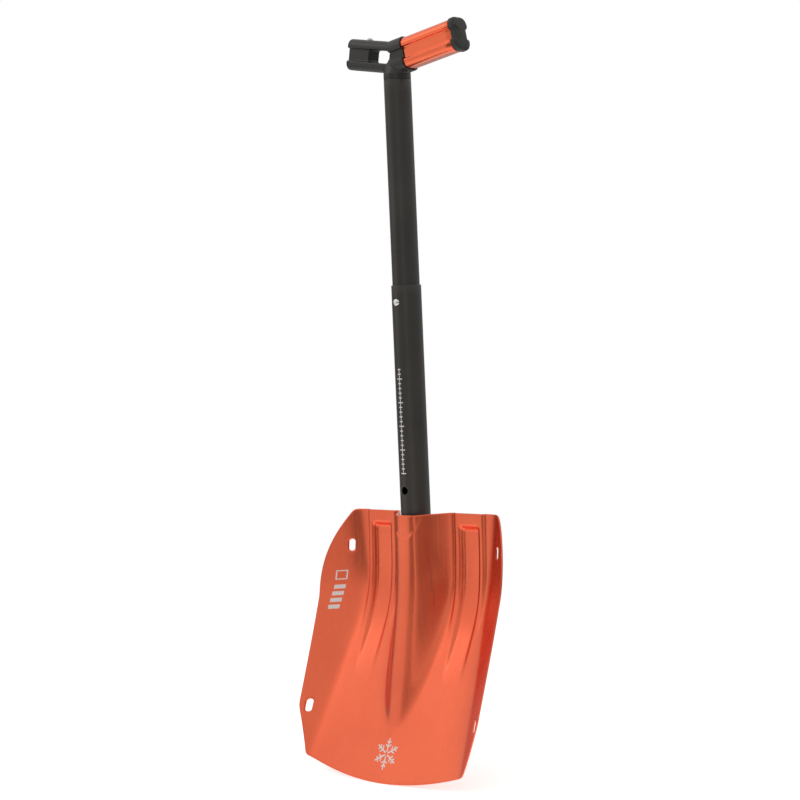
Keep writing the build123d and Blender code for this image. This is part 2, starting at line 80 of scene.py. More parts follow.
FLUTE_HEIGHT, FLUTE_DEPTH, FLUTE_LAND = 13.0, 3.4, 0.5
GRIP_START, GRIP_END, GRIP_WALL = 7.0, 81.5, 1.8
CAP_THICK, CAP_LIP = 8.0, 1.2


# ---- the blade's net, in millimetres ----------------------------------------------------
NET_STEP_X, NET_STEP_Z = 1.15, 2.0
NET_GAP, NET_RISE = 0.8, 0.9           # clear of the rim, along a row and up or down
# how far in from the outline, and how far through the sheet, its rounded edge runs
EDGE_STEPS = ((0.6, 0.0), (0.2, 0.07), (0.0, 0.25), (0.0, 0.75), (0.2, 0.93), (0.6, 1.0))


# ---- small helpers ----------------------------------------------------------------------
def mesh_object(name, verts, faces):
    """A smooth-shaded mesh object from millimetre vertices."""
    mesh = bpy.data.meshes.new(name)
    mesh.from_pydata([tuple(c * MM for c in v) for v in verts], [], faces)
    mesh.validate()
    mesh.update()
    mesh.shade_smooth()
    obj = bpy.data.objects.new(name, mesh)
    bpy.context.scene.collection.objects.link(obj)
    return obj


def face_outwards(obj):
    """Make every closed shell's normals point out."""
    bm = bmesh.new()
    bm.from_mesh(obj.data)
    bmesh.ops.recalc_face_normals(bm, faces=bm.faces)
    bm.to_mesh(obj.data)
    bm.free()


def bridge(rings, closed=True, around=True):
    """Quads between equal rings of vertex numbers; closed joins the last ring to the first."""
    faces = []
    count = len(rings)
    for a in range(count if closed else count - 1):
        one, two = rings[a], rings[(a + 1) % count]
        n = len(one)
        for i in range(n if around else n - 1):
            j = (i + 1) % n
            faces.append((one[i], one[j], two[j], two[i]))
    return faces


def ramp(distance, blend):
    """Nothing below zero and the distance above it, with a soft bend between."""
    return (distance + hypot(distance, blend)) / 2


def ease(part, start, end):
    """From 0 at start to 1 at end, smoothly."""
    t = min(max((part - start) / (end - start), 0.0), 1.0)
    return t * t * (3 - 2 * t)


def plateau(distance, half, wall):
    """1 on a raised strip, falling to 0 over its walls."""
    return 1 - ease(abs(distance), half - wall, half)


# ---- the blade's skin -----------------------------------------------------------------------
def panel(z):
    return PANEL_DEPTH - SCOOP_SLOPE * ramp(SCOOP_HEIGHT - z, SCOOP_BLEND)


def fold(z):
    return WING_WAIST + WING_FLARE * hypot(z - WING_WAIST_HEIGHT, 15)


def crest(z):
    return CREST_DEPTH - CREST_LEAN * ramp(CREST_HEIGHT - z, 30)


def spine_profile(across, z):
    """Share of the spine's height at a place: a plain ridge below, with stepped sides above."""
    taper = min(max((z - SPINE_TIP_HEIGHT) / SPINE_TAPER, 1e-4), 1.0)
    foot = SPINE_HALF * taper**SPINE_TIP_POWER
    crest_half = min(SPINE_CREST_HALF, SPINE_TIP_SHARE * foot + SPINE_TIP_CREST)
    foot = max(foot, crest_half + 2)
    ridge = 1 - (ramp(across - crest_half, 4) - ramp(across - foot, 4)) / (foot - crest_half)
    shelf_start = SPINE_CREST_HALF + CHANNEL_WALL
    step_drop = ramp(across - SPINE_CREST_HALF, 3) - ramp(across - shelf_start, 3)
    shelf_drop = ramp(across - shelf_start, 3) - ramp(across - SPINE_SHELF_HALF, 3)
    foot_drop = ramp(across - SPINE_SHELF_HALF, 3) - ramp(across - SPINE_HALF + 1, 3)
    stepped = 1 - (CHANNEL_SHARE * step_drop / CHANNEL_WALL + SHELF_SHARE * shelf_drop / SHELF_WIDTH
                   + FOOT_SHARE * foot_drop / FOOT_WALL)
    mix = ease(z, CHANNEL_LOW, CHANNEL_HIGH)
    return max((1 - mix) * ridge + mix * stepped, 0.0)


def front_skin(x, z):
    """Depth of the front skin from the shaft's axis, in millimetres, negative to the front."""
    across = abs(x)
    depth = panel(z)
    rail = plateau(across - (RAIL_INNER + RAIL_OUTER) / 2, (RAIL_OUTER - RAIL_INNER) / 2, 3)
    depth -= RAIL_RISE * rail * ease(z, RAIL_FADE_LOW, RAIL_FADE_HIGH)
    groove_end = BLADE_HEIGHT - GROOVE_TOP_GAP
    run = 1 - ease(z, groove_end - PRESS_WALL, groove_end)
    run *= ease(z, GROOVE_FADE_LOW, GROOVE_FADE_HIGH)
    depth += GROOVE_DEPTH * plateau(across - GROOVE_MIDDLE, GROOVE_HALF, PRESS_WALL) * run
    height = ramp(panel(z) - crest(z), 2)
    depth -= height * spine_profile(across, z)
    depth -= WING_SLOPE * ramp(across - fold(z), WING_BLEND)
    return depth


def mouth_step(x, z):
    """The shallow U-shaped coining where the shaft goes in, as a forward step."""
    reach = hypot(x / MOUTH_HALF, (BLADE_HEIGHT - z) / MOUTH_DROP)
    return MOUTH_STEP * (1 - ease(reach, 0.93, 1.0))


def skin_point(x, z, through):
    """A point of the sheet: through is 0 on the front skin and 1 on the back skin."""
    step = 0.4
    across = (front_skin(x + step, z) - front_skin(x - step, z)) / (2 * step)
    along = (front_skin(x, z + step) - front_skin(x, z - step)) / (2 * step)
    depth = front_skin(x, z) + mouth_step(x, z)
    depth += SHEET * through * sqrt(1 + across ** 2 + along ** 2)
    return Vector((x, SHAFT_Y + depth, z))


def resample(points, spacing):
    """Evenly spaced points along a closed outline."""
    out = []
    for a, b in zip(points, points[1:] + points[:1]):
        steps = max(1, round((b - a).length / spacing))
        out += [a.lerp(b, i / steps) for i in range(steps)]
    return out


def relax(points, rounds):
    """Round an outline's corners by averaging neighbours."""
    for _ in range(rounds):
        n = len(points)
        points = [
            points[i] * 0.5 + (points[i - 1] + points[(i + 1) % n]) * 0.25 for i in range(n)
        ]
    return points


def sagitta_arc(a, b, bulge, count):
    """Points from a to b, without b, on an arc that stands bulge out of its chord."""
    middle = (a + b) / 2
    chord = b - a
    out = Vector((-chord.y, chord.x)).normalized()
    radius = (chord.length**2 / 4 + bulge**2) / (2 * bulge)
    centre = middle - out * (radius - bulge)
    start = a - centre
    turn = start.angle_signed(b - centre)
    return [centre + Matrix.Rotation(-turn * i / count, 2) @ start for i in range(count)]


def blade_outline():
    """Outline of the sheet seen from the front, clockwise from the top middle."""
    top = Vector((TOP_HALF, BLADE_HEIGHT))
    shoulder = Vector((SHOULDER_HALF, BLADE_HEIGHT - SHOULDER_DROP))
    corner = Vector((CORNER_HALF, CORNER_HEIGHT))
    half = [Vector((0, BLADE_HEIGHT))]
    half += sagitta_arc(top, shoulder, SHOULDER_BULGE, 24)
    half += [shoulder, Vector((CHEEK_HALF, CHEEK_HEIGHT))]
    half += sagitta_arc(corner, Vector((0, 0)), CORNER_HEIGHT / 4.1, 20)
    half += [Vector((0, 0))]
    other = [Vector((-p.x, p.y)) for p in reversed(half[1:-1])]
    return relax(resample(half + other, 1.4), 8)


def slot_outline(x, z):
    straight = (SLOT_LENGTH - SLOT_WIDTH) / 2
    points = []
    for i in range(28):
        turn = 2 * pi * i / 28
        lift = straight if sin(turn) >= 0 else -straight
        points.append(Vector((x + SLOT_WIDTH / 2 * cos(turn), z + lift + SLOT_WIDTH / 2 * sin(turn))))
    return points


def inset(loop, distance):
    """Move an outline into the sheet; the outer outline runs clockwise, holes the other way."""
    n = len(loop)
    moved = []
    for i in range(n):
        along = (loop[(i + 1) % n] - loop[i - 1]).normalized()
        moved.append(loop[i] + Vector((along.y, -along.x)) * distance)
    return moved


def inside(loop, x, y):
    """Whether a point lies inside a closed outline."""
    hit = False
    for a, b in zip(loop, loop[1:] + loop[:1]):
        if (a.y > y) != (b.y > y) and x < (b.x - a.x) * (y - a.y) / (b.y - a.y) + a.x:
            hit = not hit
    return hit


class OutlineRows:
    """Level rows across an outline that each row crosses twice. Each row is worked out once."""

    def __init__(self, loop):
        self.loop, self.found = loop, {}

    def span(self, z):
        """The leftmost and the rightmost crossing at a height, or None."""
        if z not in self.found:
            hits = []
            for a, b in zip(self.loop, self.loop[1:] + self.loop[:1]):
                if (a.y > z) != (b.y > z):
                    hits.append(a.x + (b.x - a.x) * (z - a.y) / (b.y - a.y))
            self.found[z] = (min(hits), max(hits)) if len(hits) >= 2 else None
        return self.found[z]

    def holds(self, x, z):
        span = self.span(z)
        return span is not None and span[0] < x < span[1]


def net_points(rows):
    """Points inside the sheet's rim, clear of the rim and of the slots."""
    points = []
    for row in range(int(BLADE_HEIGHT / NET_STEP_Z) + 1):
        z = row * NET_STEP_Z + 0.37
        span = rows.span(z)
        if not span:
            continue
        width = span[1] - span[0] - 2 * NET_GAP
        count = int(width / NET_STEP_X)
        for i in range(count + 1):
            x = span[0] + NET_GAP + width * i / max(count, 1)
            near = any(abs(x - hx) < SLOT_WIDTH / 2 + 1.2 and abs(z - hz) < SLOT_LENGTH / 2 + 1.2
                       for sx, hz in SLOTS for hx in (sx, -sx))
            if not near and rows.holds(x, z + NET_RISE) and rows.holds(x, z - NET_RISE):
                points.append(Vector((x, z)))
    return points


def make_blade():
    """Closed sheet: a fine triangle net on both skins and a rounded edge round every outline."""
    outer = blade_outline()
    holes = []
    for x, z in SLOTS:
        holes += [slot_outline(x, z), slot_outline(-x, z)]
    loops = [outer] + holes
    rims = [inset(loop, EDGE_STEPS[0][0]) for loop in loops]
    flat, edges = [], []
    for rim in rims:
        start = len(flat)
        flat += rim
        edges += [(start + i, start + (i + 1) % len(rim)) for i in range(len(rim))]
    rows = OutlineRows(rims[0])
    flat += net_points(rows)
    points, _, faces, origin, _, _ = delaunay_2d_cdt(flat, edges, [], 0, 1e-4)
    kept = []
    for face in faces:
        x = sum(points[i].x for i in face) / 3
        z = sum(points[i].y for i in face) / 3
        in_sheet = rows.holds(x, round(z, 1) + 1e-4)
        if in_sheet and not any(inside(rim, x, z) for rim in rims[1:]):
            kept.append(face)
    number = {}
    for new, sources in enumerate(origin):
        for source in sources:
            number[source] = new
    verts = [skin_point(p.x, p.y, 0.0) for p in points]
    back = len(verts)
    verts += [skin_point(p.x, p.y, 1.0) for p in points]
    quads = [tuple(face) for face in kept]
    quads += [tuple(i + back for i in reversed(face)) for face in kept]
    offset = 0
    for loop, rim in zip(loops, rims):
        first = [number[offset + i] for i in range(len(rim))]
        rings = [first]
        for depth, through in EDGE_STEPS[1:-1]:
            ring = []
            for p in inset(loop, depth):
                ring.append(len(verts))
                verts.append(skin_point(p.x, p.y, through))
            rings.append(ring)
        rings.append([i + back for i in first])
        quads += bridge(rings, closed=False)
        offset += len(rim)
    obj = mesh_object("blade_sheet", verts, quads)
    face_outwards(obj)
    return obj


# ---- oval tubes --------------------------------------------------------------------------
def oval_tube(name, width, depth, low, high, holes):
    """Oval tube with rounded rims and round holes in its front (-1) or back (+1)."""
    columns = 96
    patch = 7
    levels = [low, low + 0.25, low + 0.6, high - 0.6, high - 0.25, high]
    cell = 7.0 / patch
    for _, height in holes:
        levels += [height + cell * k for k in range(-patch, patch + 1)]
    fixed = sorted(set(levels))
    levels = []
    for a, b in zip(fixed, fixed[1:]):
        steps = max(1, int((b - a) / 14))
        levels += [a + (b - a) * i / steps for i in range(steps)]
    levels.append(fixed[-1])
    verts, faces = [], []

    def add(turn, z, inset_mm):
        x = (width / 2 - inset_mm) * cos(turn)
        y = (depth / 2 - inset_mm) * sin(turn)
        verts.append((x, SHAFT_Y + y, z))
        return len(verts) - 1

    skins = []
    for inset_mm in (0.0, TUBE_WALL):
        grid = []
        for j, z in enumerate(levels):
            at_rim = min(j, len(levels) - 1 - j)
            pull = {0: 0.45, 1: 0.12}.get(at_rim, 0.0)
            shift = pull if inset_mm == 0 else -pull
            level = inset_mm + shift
            grid.append([add(2 * pi * i / columns, z, level) for i in range(columns)])
        skip = set()
        rims = []
        for side, height in holes:
            middle = columns * 3 // 4 if side < 0 else columns // 4
            row = min(range(len(levels)), key=lambda j: abs(levels[j] - height))
            for dj in range(-patch, patch):
                for di in range(-patch, patch):
                    skip.add((row + dj, (middle + di) % columns))
            loop = [(row - patch, middle + d) for d in range(-patch, patch)]
            loop += [(row + d, middle + patch) for d in range(-patch, patch)]
            loop += [(row + patch, middle - d) for d in range(-patch, patch)]
            loop += [(row - d, middle - patch) for d in range(-patch, patch)]
            outer_ring = [grid[j][i % columns] for j, i in loop]
            rings = [outer_ring]
            centre_turn = 2 * pi * middle / columns
            for extra, sink in ((1.0, 0.0), (0.3, 0.0), (0.0, 0.25)):
                radius = HOLE_RADIUS + extra
                ring = []
                for j, i in loop:
                    across = (i - middle) / patch
                    up = (j - row) / patch
                    size = hypot(across, up)
                    turn = centre_turn + across / size * radius / (width / 2)
                    depth_in = inset_mm + (sink if inset_mm == 0 else -sink)
                    ring.append(add(turn, height + up / size * radius, depth_in))
                rings.append(ring)
            faces.extend(bridge(rings, closed=False))
            rims.append(rings[-1])
        for j in range(len(levels) - 1):
            for i in range(columns):
                if (j, i) not in skip:
                    k = (i + 1) % columns
                    faces.append((grid[j][i], grid[j][k], grid[j + 1][k], grid[j + 1][i]))
        skins.append((grid, rims))
    (outer, outer_rims), (inner, inner_rims) = skins
    faces += bridge([outer[0], inner[0]], closed=False)
    faces += bridge([outer[-1], inner[-1]], closed=False)
    for a, b in zip(outer_rims, inner_rims):
        faces += bridge([a, b], closed=False)
    obj = mesh_object(name, verts, faces)
    face_outwards(obj)
    return obj


# ---- lobed sections of the handle -----------------------------------------------------------
def fillet_corners(corners, arc_steps=7, side_steps=5):
    """Closed outline through corners (x, y, radius), with as many points whatever their sizes."""
    n = len(corners)
    arcs = []
    for i in range(n):
        x, y, radius = corners[i]
        here = Vector((x, y))
        before = (Vector(corners[i - 1][:2]) - here).normalized()
        after = (Vector(corners[(i + 1) % n][:2]) - here).normalized()
        half_angle = before.angle(after) / 2
        reach = radius / max(1e-6, abs(sin(half_angle) / cos(half_angle)))
        centre = here + (before + after).normalized() * (radius / sin(half_angle))
        first = here + before * reach
        last = here + after * reach
        a = first - centre
        turn = a.angle_signed(last - centre)
        arcs.append([
            centre + Matrix.Rotation(-turn * k / arc_steps, 2) @ a for k in range(arc_steps + 1)
        ])
    points = []
    for i in range(n):
        points += arcs[i]
        start, end = arcs[i][-1], arcs[(i + 1) % n][0]
        points += [start.lerp(end, k / side_steps) for k in range(1, side_steps)]
    return points


def lobed_outline(grow=0.0):
    """Section of the arms in their own plane: x is front to back, y is the arm's up."""
    half_depth = ARM_DEPTH / 2 + grow
    half_height = ARM_HEIGHT / 2 + grow
    corner = max(ARM_CORNER + grow, 1.0)
    half_flute = min(FLUTE_HEIGHT / 2 - grow, half_height - corner - FLUTE_LAND)
    land = half_height - corner - half_flute
    lip = min(1.5, 0.9 * land)
    floor = half_depth - FLUTE_DEPTH
    side = [
        (half_depth, half_height, corner),
        (half_depth, half_flute, lip),
        (floor, half_flute, 1.6),
        (floor, -half_flute, 1.6),
        (half_depth, -half_flute, lip),
        (half_depth, -half_height, corner),
    ]
    other = [(-x, -y, r) for x, y, r in side]
    return fillet_corners(side + other)


def arm_point(side, distance, across, up):
    """A point of an arm: distance from the apex, front-to-back and up, in the arm's frame."""
    x = side * (distance * cos(ARM_RISE) - up * sin(ARM_RISE))
    z = APEX_HEIGHT + distance * sin(ARM_RISE) + up * cos(ARM_RISE)
    return (x, SHAFT_Y + across, z)


def lofted(name, side, sections, closed=False, caps=()):
    """A skin through lobed sections (distance, grow), closed into a ring of skins or capped."""
    verts, rings = [], []
    for distance, grow in sections:
        ring = []
        for p in lobed_outline(grow):
            ring.append(len(verts))
            verts.append(arm_point(side, distance, p.x, p.y))
        rings.append(ring)
    faces = bridge(rings, closed=closed)
    for which, bulge in caps:
        distance, grow = sections[which]
        previous = rings[which]
        outline = lobed_outline(grow)
        sign = 1 if which else -1
        for share in (0.8, 0.55, 0.3, 0.12):
            ring = []
            out = distance + sign * bulge * (1 - share**2)
            for p in outline:
                ring.append(len(verts))
                verts.append(arm_point(side, out, p.x * share, p.y * share))
            faces += bridge([previous, ring], closed=False)
            previous = ring
        verts.append(arm_point(side, distance + sign * bulge, 0, 0))
        middle = len(verts) - 1
        n = len(previous)
        faces += [(previous[i], previous[(i + 1) % n], middle) for i in range(n)]
    obj = mesh_object(name, verts, faces)
    face_outwards(obj)
    return obj


def make_grip():
    """Hollow lobed sleeve with softened ends."""
    outer = [(GRIP_START, -0.4), (GRIP_START + 0.4, 0.0)]
    length = GRIP_END - GRIP_START
    outer += [(GRIP_START + length * k / 8, 0.0) for k in range(1, 8)]
    outer += [(GRIP_END - 0.5, 0.0), (GRIP_END - 0.1, -0.35)]
    inner = [(GRIP_END - 0.1, -GRIP_WALL + 0.3), (GRIP_END - 0.6, -GRIP_WALL)]
    inner.append((GRIP_START, -GRIP_WALL))
    return lofted("grip_sleeve", 1, outer + inner, closed=True)


def make_cap():
    """Lobed plug with a rounded outer face, a little prouder than the sleeve."""
    base = GRIP_END
    sections = [(base + 0.05, -1.0), (base + 0.05, CAP_LIP - 0.5), (base + 0.35, CAP_LIP)]
    round_over = 3.4
    straight = CAP_THICK - round_over - 0.9
    sections.append((base + straight, CAP_LIP))
    for k in range(1, 7):
        turn = pi / 2 * k / 6
        out = base + straight + round_over * sin(turn)
        sections.append((out, CAP_LIP - round_over * (1 - cos(turn))))
    return lofted("grip_cap", 1, sections, caps=((0, 0.0), (-1, 0.85)))


# ---- handle hub: the CAD shape with moulded, rounded edges --------------------------------
def make_hub():
    """The hub's CAD mesh, remeshed and smoothed."""
    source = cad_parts["handle_hub"]
    obj = bpy.data.objects.new("hub_moulding", source.data.copy())
    bpy.context.scene.collection.objects.link(obj)
    bpy.context.view_layer.update()
    remesh = obj.modifiers.new("remesh", "REMESH")
    remesh.mode = "VOXEL"
    remesh.voxel_size = 0.0005
    soften = obj.modifiers.new("soften", "SMOOTH")
    soften.factor = 0.5
    soften.iterations = 9
    apply_modifiers(obj)
    obj.data.shade_smooth()
    return obj


def apply_modifiers(obj):
    graph = bpy.context.evaluated_depsgraph_get()
    mesh = bpy.data.meshes.new_from_object(obj.evaluated_get(graph))
    obj.modifiers.clear()
    obj.data = mesh


# ---- materials -----------------------------------------------------------------------------
def new_material(name):
    material = bpy.data.materials.new(name)
    material.use_nodes = True
    nodes = material.node_tree.nodes
    shader = nodes["Principled BSDF"]
    return material, nodes, material.node_tree.links, shader


def noise(nodes, links, coords, scale, stretch=(1, 1, 1), detail=4.0, roughness=0.5):
    """Noise on the object's own coordinates, stretched along an axis."""
    mapping = nodes.new("ShaderNodeMapping")
    mapping.inputs["Scale"].default_value = stretch
    links.new(coords.outputs["Object"], mapping.inputs["Vector"])
    texture = nodes.new("ShaderNodeTexNoise")
    texture.inputs["Scale"].default_value = scale
    texture.inputs["Detail"].default_value = detail
    texture.inputs["Roughness"].default_value = roughness
    links.new(mapping.outputs["Vector"], texture.inputs["Vector"])
    return texture.outputs["Fac"]


def spread(nodes, links, value, low, high, start=0.3, end=0.7):
    """Map a texture's value to a range."""
    node = nodes.new("ShaderNodeMapRange")
    node.inputs["From Min"].default_value = start
    node.inputs["From Max"].default_value = end
    node.inputs["To Min"].default_value = low
    node.inputs["To Max"].default_value = high
    links.new(value, node.inputs["Value"])
    return node.outputs["Result"]


def tint(nodes, links, value, dark, light):
    """A colour between dark and light that follows a texture's value."""
    ramp_node = nodes.new("ShaderNodeValToRGB")
    ramp_node.color_ramp.elements[0].position = 0.25
    ramp_node.color_ramp.elements[0].color = (*dark, 1)
    ramp_node.color_ramp.elements[1].position = 0.75
    ramp_node.color_ramp.elements[1].color = (*light, 1)
    links.new(value, ramp_node.inputs["Fac"])
    return ramp_node.outputs["Color"]


def bumps(nodes, links, value, strength, distance, before=None):
    node = nodes.new("ShaderNodeBump")
    node.inputs["Strength"].default_value = strength
    node.inputs["Distance"].default_value = distance
    links.new(value, node.inputs["Height"])
    if before is not None:
        links.new(before, node.inputs["Normal"])
    return node.outputs["Normal"]


def anodised(name, dark, light, rough, stretch, coat=0.0):
    """Anodised aluminium: coloured metal with drawn lines, cloudy tone and fine grain."""
    material, nodes, links, shader = new_material(name)
    coords = nodes.new("ShaderNodeTexCoord")
    cloud = noise(nodes, links, coords, 14, detail=3)
    lines = noise(nodes, links, coords, 260, stretch, detail=5, roughness=0.6)
    grain = noise(nodes, links, coords, 2600, detail=2)
    links.new(tint(nodes, links, cloud, dark, light), shader.inputs["Base Color"])
    shader.inputs["Metallic"].default_value = 1.0
    links.new(spread(nodes, links, lines, rough - 0.04, rough + 0.05), shader.inputs["Roughness"])
    fine = bumps(nodes, links, grain, 0.10, 0.0001)
    links.new(bumps(nodes, links, lines, 0.06, 0.0001, fine), shader.inputs["Normal"])
    shader.inputs["Coat Weight"].default_value = coat
    shader.inputs["Coat Roughness"].default_value = 0.28
    return material


def moulded(name, dark, light, rough, grain_size, strength):
    """Moulded plastic or rubber: fine spark-eroded grain and a faint cloud in its gloss."""
    material, nodes, links, shader = new_material(name)
    coords = nodes.new("ShaderNodeTexCoord")
    cloud = noise(nodes, links, coords, 40, detail=3)
    grain = noise(nodes, links, coords, grain_size, detail=3)
    links.new(tint(nodes, links, cloud, dark, light), shader.inputs["Base Color"])
    links.new(spread(nodes, links, cloud, rough - 0.05, rough + 0.06), shader.inputs["Roughness"])
    links.new(bumps(nodes, links, grain, strength, 0.0003), shader.inputs["Normal"])
    shader.inputs["IOR"].default_value = 1.5
    return material


def bare_metal(name, dark, light, rough, scale, stretch):
    """Uncoated metal with fine lines in its colour and its gloss."""
    material, nodes, links, shader = new_material(name)
    coords = nodes.new("ShaderNodeTexCoord")
    lines = noise(nodes, links, coords, scale, stretch, detail=4)
    links.new(tint(nodes, links, lines, dark, light), shader.inputs["Base Color"])
    shader.inputs["Metallic"].default_value = 1.0
    links.new(spread(nodes, links, lines, rough - 0.06, rough + 0.08), shader.inputs["Roughness"])
    links.new(bumps(nodes, links, lines, 0.08, 0.0001), shader.inputs["Normal"])
    return material


def printed(name, dark, light):
    """Screen print: matt ink with a slightly broken surface."""
    material, nodes, links, shader = new_material(name)
    coords = nodes.new("ShaderNodeTexCoord")
    speckle = noise(nodes, links, coords, 1800, detail=3)
    links.new(tint(nodes, links, speckle, dark, light), shader.inputs["Base Color"])
    shader.inputs["Roughness"].default_value = 0.55
    links.new(bumps(nodes, links, speckle, 0.12, 0.0001), shader.inputs["Normal"])
    return material


drawn = (1, 1, 0.02)
orange_blade = anodised(
    "anodised_orange_sheet", (0.76, 0.110, 0.040), (0.84, 0.140, 0.052), 0.29, drawn, 0.7)
orange_grip = anodised(
    "anodised_orange_grip", (0.76, 0.110, 0.036), (0.86, 0.145, 0.050), 0.27, (0.02, 1, 1), 0.7)
black_shaft = anodised(
    "anodised_black_shaft", (0.030, 0.027, 0.024), (0.044, 0.040, 0.036), 0.42, drawn, 0.1)
black_shaft.node_tree.nodes["Principled BSDF"].inputs["Metallic"].default_value = 0.3
hub_plastic = moulded(
    "moulded_black_hub", (0.012, 0.0115, 0.011), (0.022, 0.021, 0.020), 0.38, 1500, 0.15)
cap_rubber = moulded(
    "soft_black_cap", (0.015, 0.016, 0.013), (0.026, 0.027, 0.023), 0.55, 1100, 0.25)
nylon = moulded("black_nylon", (0.016, 0.016, 0.016), (0.028, 0.028, 0.028), 0.5, 900, 0.15)
mill_aluminium = bare_metal(
    "mill_aluminium", (0.34, 0.34, 0.35), (0.50, 0.50, 0.51), 0.45, 300, drawn)
steel = bare_metal("bright_steel", (0.58, 0.58, 0.58), (0.78, 0.78, 0.77), 0.2, 500, (1, 1, 1))


def dress(obj, material):
    obj.data.materials.clear()
    obj.data.materials.append(material)


def stand_in(obj, node, body, material):
    """obj is shown in place of a CAD node, on its body."""
    dress(obj, material)
    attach(obj, body)
    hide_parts(node)


stand_in(make_blade(), "blade", "blade", orange_blade)
front_holes = [(-1, BUTTON_HEIGHT)]
lower_holes = front_holes + [(-1, BUTTON_HEIGHT - HOLE_PITCH), (1, LOCK_HEIGHT)]
stand_in(oval_tube("lower_tube_body", *LOWER_TUBE, lower_holes),
         "lower_tube", "lower_shaft", black_shaft)
stand_in(oval_tube("upper_tube_body", *UPPER_TUBE, front_holes),
         "upper_tube", "upper_shaft", black_shaft)
stand_in(make_hub(), "handle_hub", "upper_shaft", hub_plastic)
stand_in(make_grip(), "grip_tube", "upper_shaft", orange_grip)
stand_in(make_cap(), "grip_end_cap", "upper_shaft", cap_rubber)

cad_looks = {
    "blade_socket": mill_aluminium,
    "socket_saddle": orange_blade,
    "lower_foot_plug": nylon,
    "upper_foot_plug": nylon,
    "arm_end_plug": nylon,
    "lock_button": steel,
    "telescope_button": steel,
    "lock_spring": steel,
    "telescope_spring": steel,
    "hub_rivet": steel,
    "grip_pin": steel,
    "plunger_body": steel,
    "plunger_ball": steel,
    "plunger_spring": steel,
}
for node, material in cad_looks.items():
    dress(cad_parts[node], material)


# ---- printed marks: a depth scale, bars and a snow crystal ---------------------------------
def on_blade(u, v):
    """A place of the print on the blade, just proud of its front skin."""
    return skin_point(u, v, -0.03)


def on_shaft(u, v):
    """A place of the print round the front of the lower tube."""
    turn = u / (LOWER_TUBE[0] / 2)
    half_width, half_depth = LOWER_TUBE[0] / 2 + 0.06, LOWER_TUBE[1] / 2 + 0.06
    return Vector((half_width * sin(turn), SHAFT_Y - half_depth * cos(turn), v))


def print_strokes(name, body, place, strokes):
    """Straight strokes (from, to, width), laid on a surface as fine patches."""
    verts, faces = [], []
    for a, b, width in strokes:
        a, b = Vector(a), Vector(b)
        along = b - a
        across = Vector((-along.y, along.x)).normalized() * width / 2
        steps = max(2, int(along.length / 1.2))
        lanes = max(2, int(width / 1.2))
        rows = []
        for i in range(steps + 1):
            row = []
            for k in range(lanes + 1):
                p = a + along * i / steps + across * (2 * k / lanes - 1)
                row.append(len(verts))
                verts.append(place(p.x, p.y))
            rows.append(row)
        faces += bridge(rows, closed=False, around=False)
    obj = mesh_object(name, verts, faces)
    dress(obj, white_print)
    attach(obj, body)
    return obj


def crystal_strokes(x, z, radius):
    """Six arms, each with two pairs of twigs."""
    strokes = []
    for arm in range(6):
        turn = Matrix.Rotation(pi / 3 * arm, 2)
        centre = Vector((x, z))

        def at(across, out):
            return centre + turn @ Vector((across, out)) * radius

        strokes.append((at(0, 0.12), at(0, 1.0), 1.3))
        for out, reach in ((0.42, 0.24), (0.68, 0.18)):
            strokes.append((at(0, out), at(reach, out + reach * 0.75), 1.1))
            strokes.append((at(0, out), at(-reach, out + reach * 0.75), 1.1))
    return strokes


white_print = printed("white_screen_print", (0.62, 0.60, 0.58), (0.78, 0.76, 0.74))
scale_strokes = [((0, 316), (0, 428), 0.7)]
for tick in range(23):
    reach = 3.2 if tick % 5 == 0 else 1.9
    height = 317 + 5 * tick
    scale_strokes.append(((-reach, height), (reach, height), 1.0))
print_strokes("depth_scale", "lower_shaft", on_shaft, scale_strokes)
wing_strokes = [
    ((-112.5 + 0.09 * rise, 168 + rise), (-103.5 + 0.09 * rise, 168 + rise), 4.2)
    for rise in (0, 7, 14, 21)
]
wing_strokes += [((-110.0, 197), (-110.0, 206), 1.1), ((-101.5, 197), (-101.5, 206), 1.1)]
wing_strokes += [((-110.5, 197), (-101.0, 197), 1.1), ((-110.5, 206), (-101.0, 206), 1.1)]
print_strokes("wing_bars", "blade", on_blade, wing_strokes)
print_strokes("snow_crystal", "blade", on_blade, crystal_strokes(0, 28, 15))


# ---- studio --------------------------------------------------------------------------------
# strips: azimuth from the front, full to and gone at (degrees), brightness
STRIPS = ((-42, 8, 26, 0.75), (53, 3, 12, 0.7), (-140, 20, 45, 0.25), (165, 10, 35, 0.18))
ROOM, CEILING = 0.17, 0.84
CEILING_LOBE, CEILING_EDGE = (-42, 10, 60, 0.12), (-0.02, 0.32)


def make_floor():
    """Round pale floor that fades out into the pale surroundings."""
    sides, ring_step, level = 96, 150, -0.05
    verts, rings = [(0, 0, level)], []
    for k in range(1, 13):
        ring = []
        for i in range(sides):
            turn = 2 * pi * i / sides
            ring.append(len(verts))
            verts.append((ring_step * k * cos(turn), ring_step * k * sin(turn), level))
        rings.append(ring)
    faces = bridge(rings[::-1], closed=False)
    faces += [(0, rings[0][i], rings[0][(i + 1) % sides]) for i in range(sides)]
    return mesh_object("studio_floor", verts, faces)


